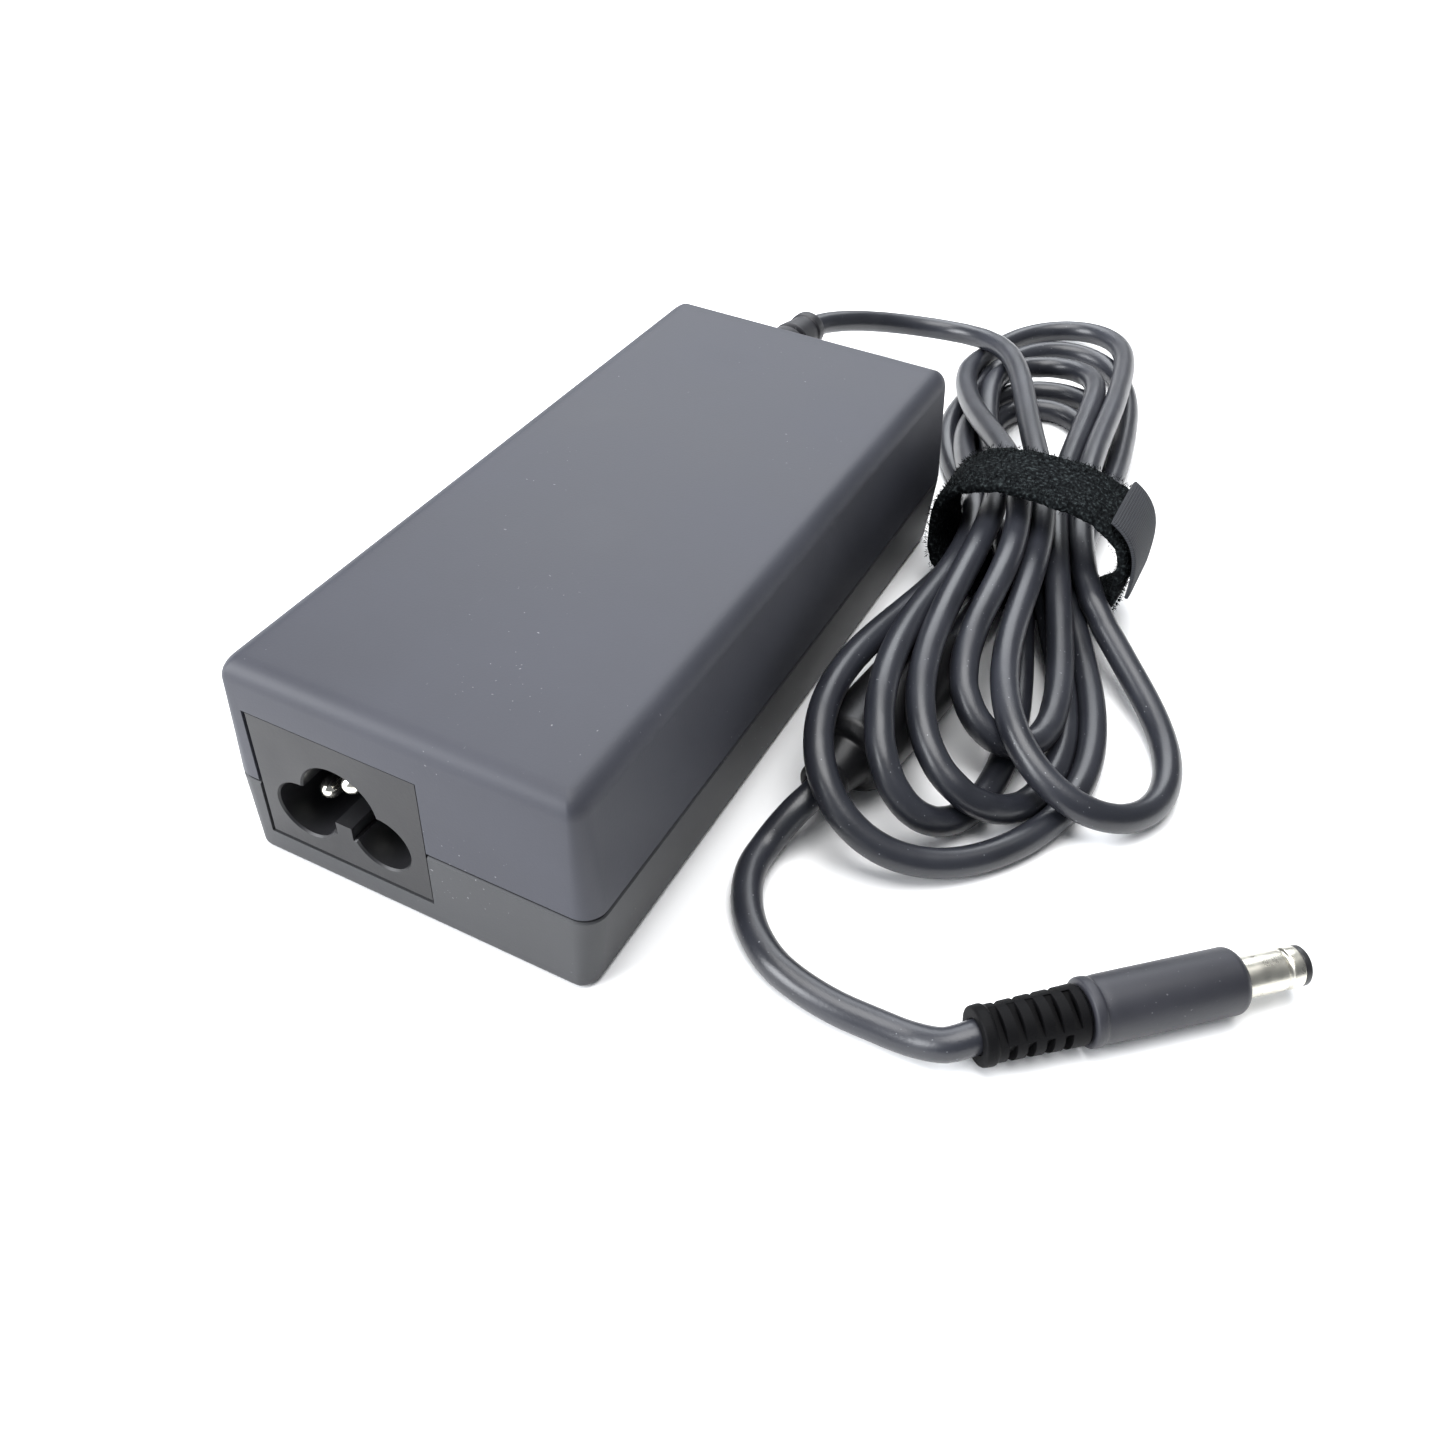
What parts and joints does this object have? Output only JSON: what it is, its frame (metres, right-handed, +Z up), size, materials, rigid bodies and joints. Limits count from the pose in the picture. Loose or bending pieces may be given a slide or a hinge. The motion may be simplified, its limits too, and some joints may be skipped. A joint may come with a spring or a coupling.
{
  "type": "laptop power adapter",
  "caption": "Brick-shaped laptop power adapter with a recessed mains inlet and an output cord folded into a strapped hank ending in a barrel plug.",
  "frame": {"origin": "centre of the brick's underside", "axes": "+Z up; +Y along the brick from the mains inlet to the end that the output cord leaves; +X towards the hank"},
  "size_m": [0.1115, 0.179, 0.0275],
  "materials": {
    "housing_upper": "fine moulded grain, satin",
    "housing_lower": "fine moulded grain, satin",
    "label_sheet": "blank matt film",
    "inlet_plastic": "satin",
    "pin_metal": "bright nickel plate",
    "board_laminate": "bare paper laminate",
    "component_black": "moulded, matt",
    "component_yellow": "moulded case",
    "component_green": "dipped coating",
    "component_blue": "dipped coating",
    "component_white": "moulded, matt",
    "ferrite": "sintered, matt",
    "copper_wire": "enamelled copper wire",
    "coil_tape": "yellow polyester tape",
    "capacitor_sleeve": "shrink sleeve over a can",
    "heatsink_metal": "plain mill finish",
    "insulating_film": "polyester film",
    "wire_black": "insulated wire",
    "wire_red": "insulated wire",
    "relief_rubber": "soft moulded",
    "cord_jacket": "smooth satin jacket",
    "strap_fuzz": "napped loop pile",
    "strap_weave": "smooth fine weave",
    "choke_plastic": "satin overmould",
    "plug_rubber": "satin moulded",
    "barrel_metal": "bright nickel plate",
    "contact_brass": "plated contact"
  },
  "bodies": {
    "root": {"top_shell": "housing_upper", "bottom_shell": "housing_lower", "rating_label": "label_sheet", "inlet_body": "inlet_plastic", "line_pin": "pin_metal", "neutral_pin": "pin_metal", "earth_pin": "pin_metal", "circuit_board": "board_laminate", "fuse": "component_black", "x_capacitor": "component_yellow", "filter_core": "ferrite", "filter_winding_left": "copper_wire", "filter_winding_right": "copper_wire", "inrush_thermistor": "component_green", "bridge_rectifier": "component_black", "bulk_capacitor": "capacitor_sleeve", "primary_heatsink": "heatsink_metal", "power_switch": "component_black", "y_capacitor": "component_blue", "control_chip": "component_black", "optocoupler": "component_white", "transformer_core": "ferrite", "transformer_coil": "coil_tape", "secondary_heatsink": "heatsink_metal", "output_diode": "component_black", "output_capacitor_front": "capacitor_sleeve", "output_capacitor_rear": "capacitor_sleeve", "insulating_sheet": "insulating_film", "output_wire_left": "wire_black", "output_wire_right": "wire_red", "strain_relief": "relief_rubber", "cord_lead": "cord_jacket", "cord_hank": "cord_jacket", "hook_loop_strap": "strap_fuzz", "strap_end_tab": "strap_weave", "choke_core": "ferrite", "choke_cover": "choke_plastic", "cord_tail": "cord_jacket", "plug_boot": "plug_rubber", "plug_body": "plug_rubber", "barrel_sleeve": "barrel_metal", "barrel_insulator": "component_black", "centre_pin": "contact_brass"}
  },
  "joints": []
}
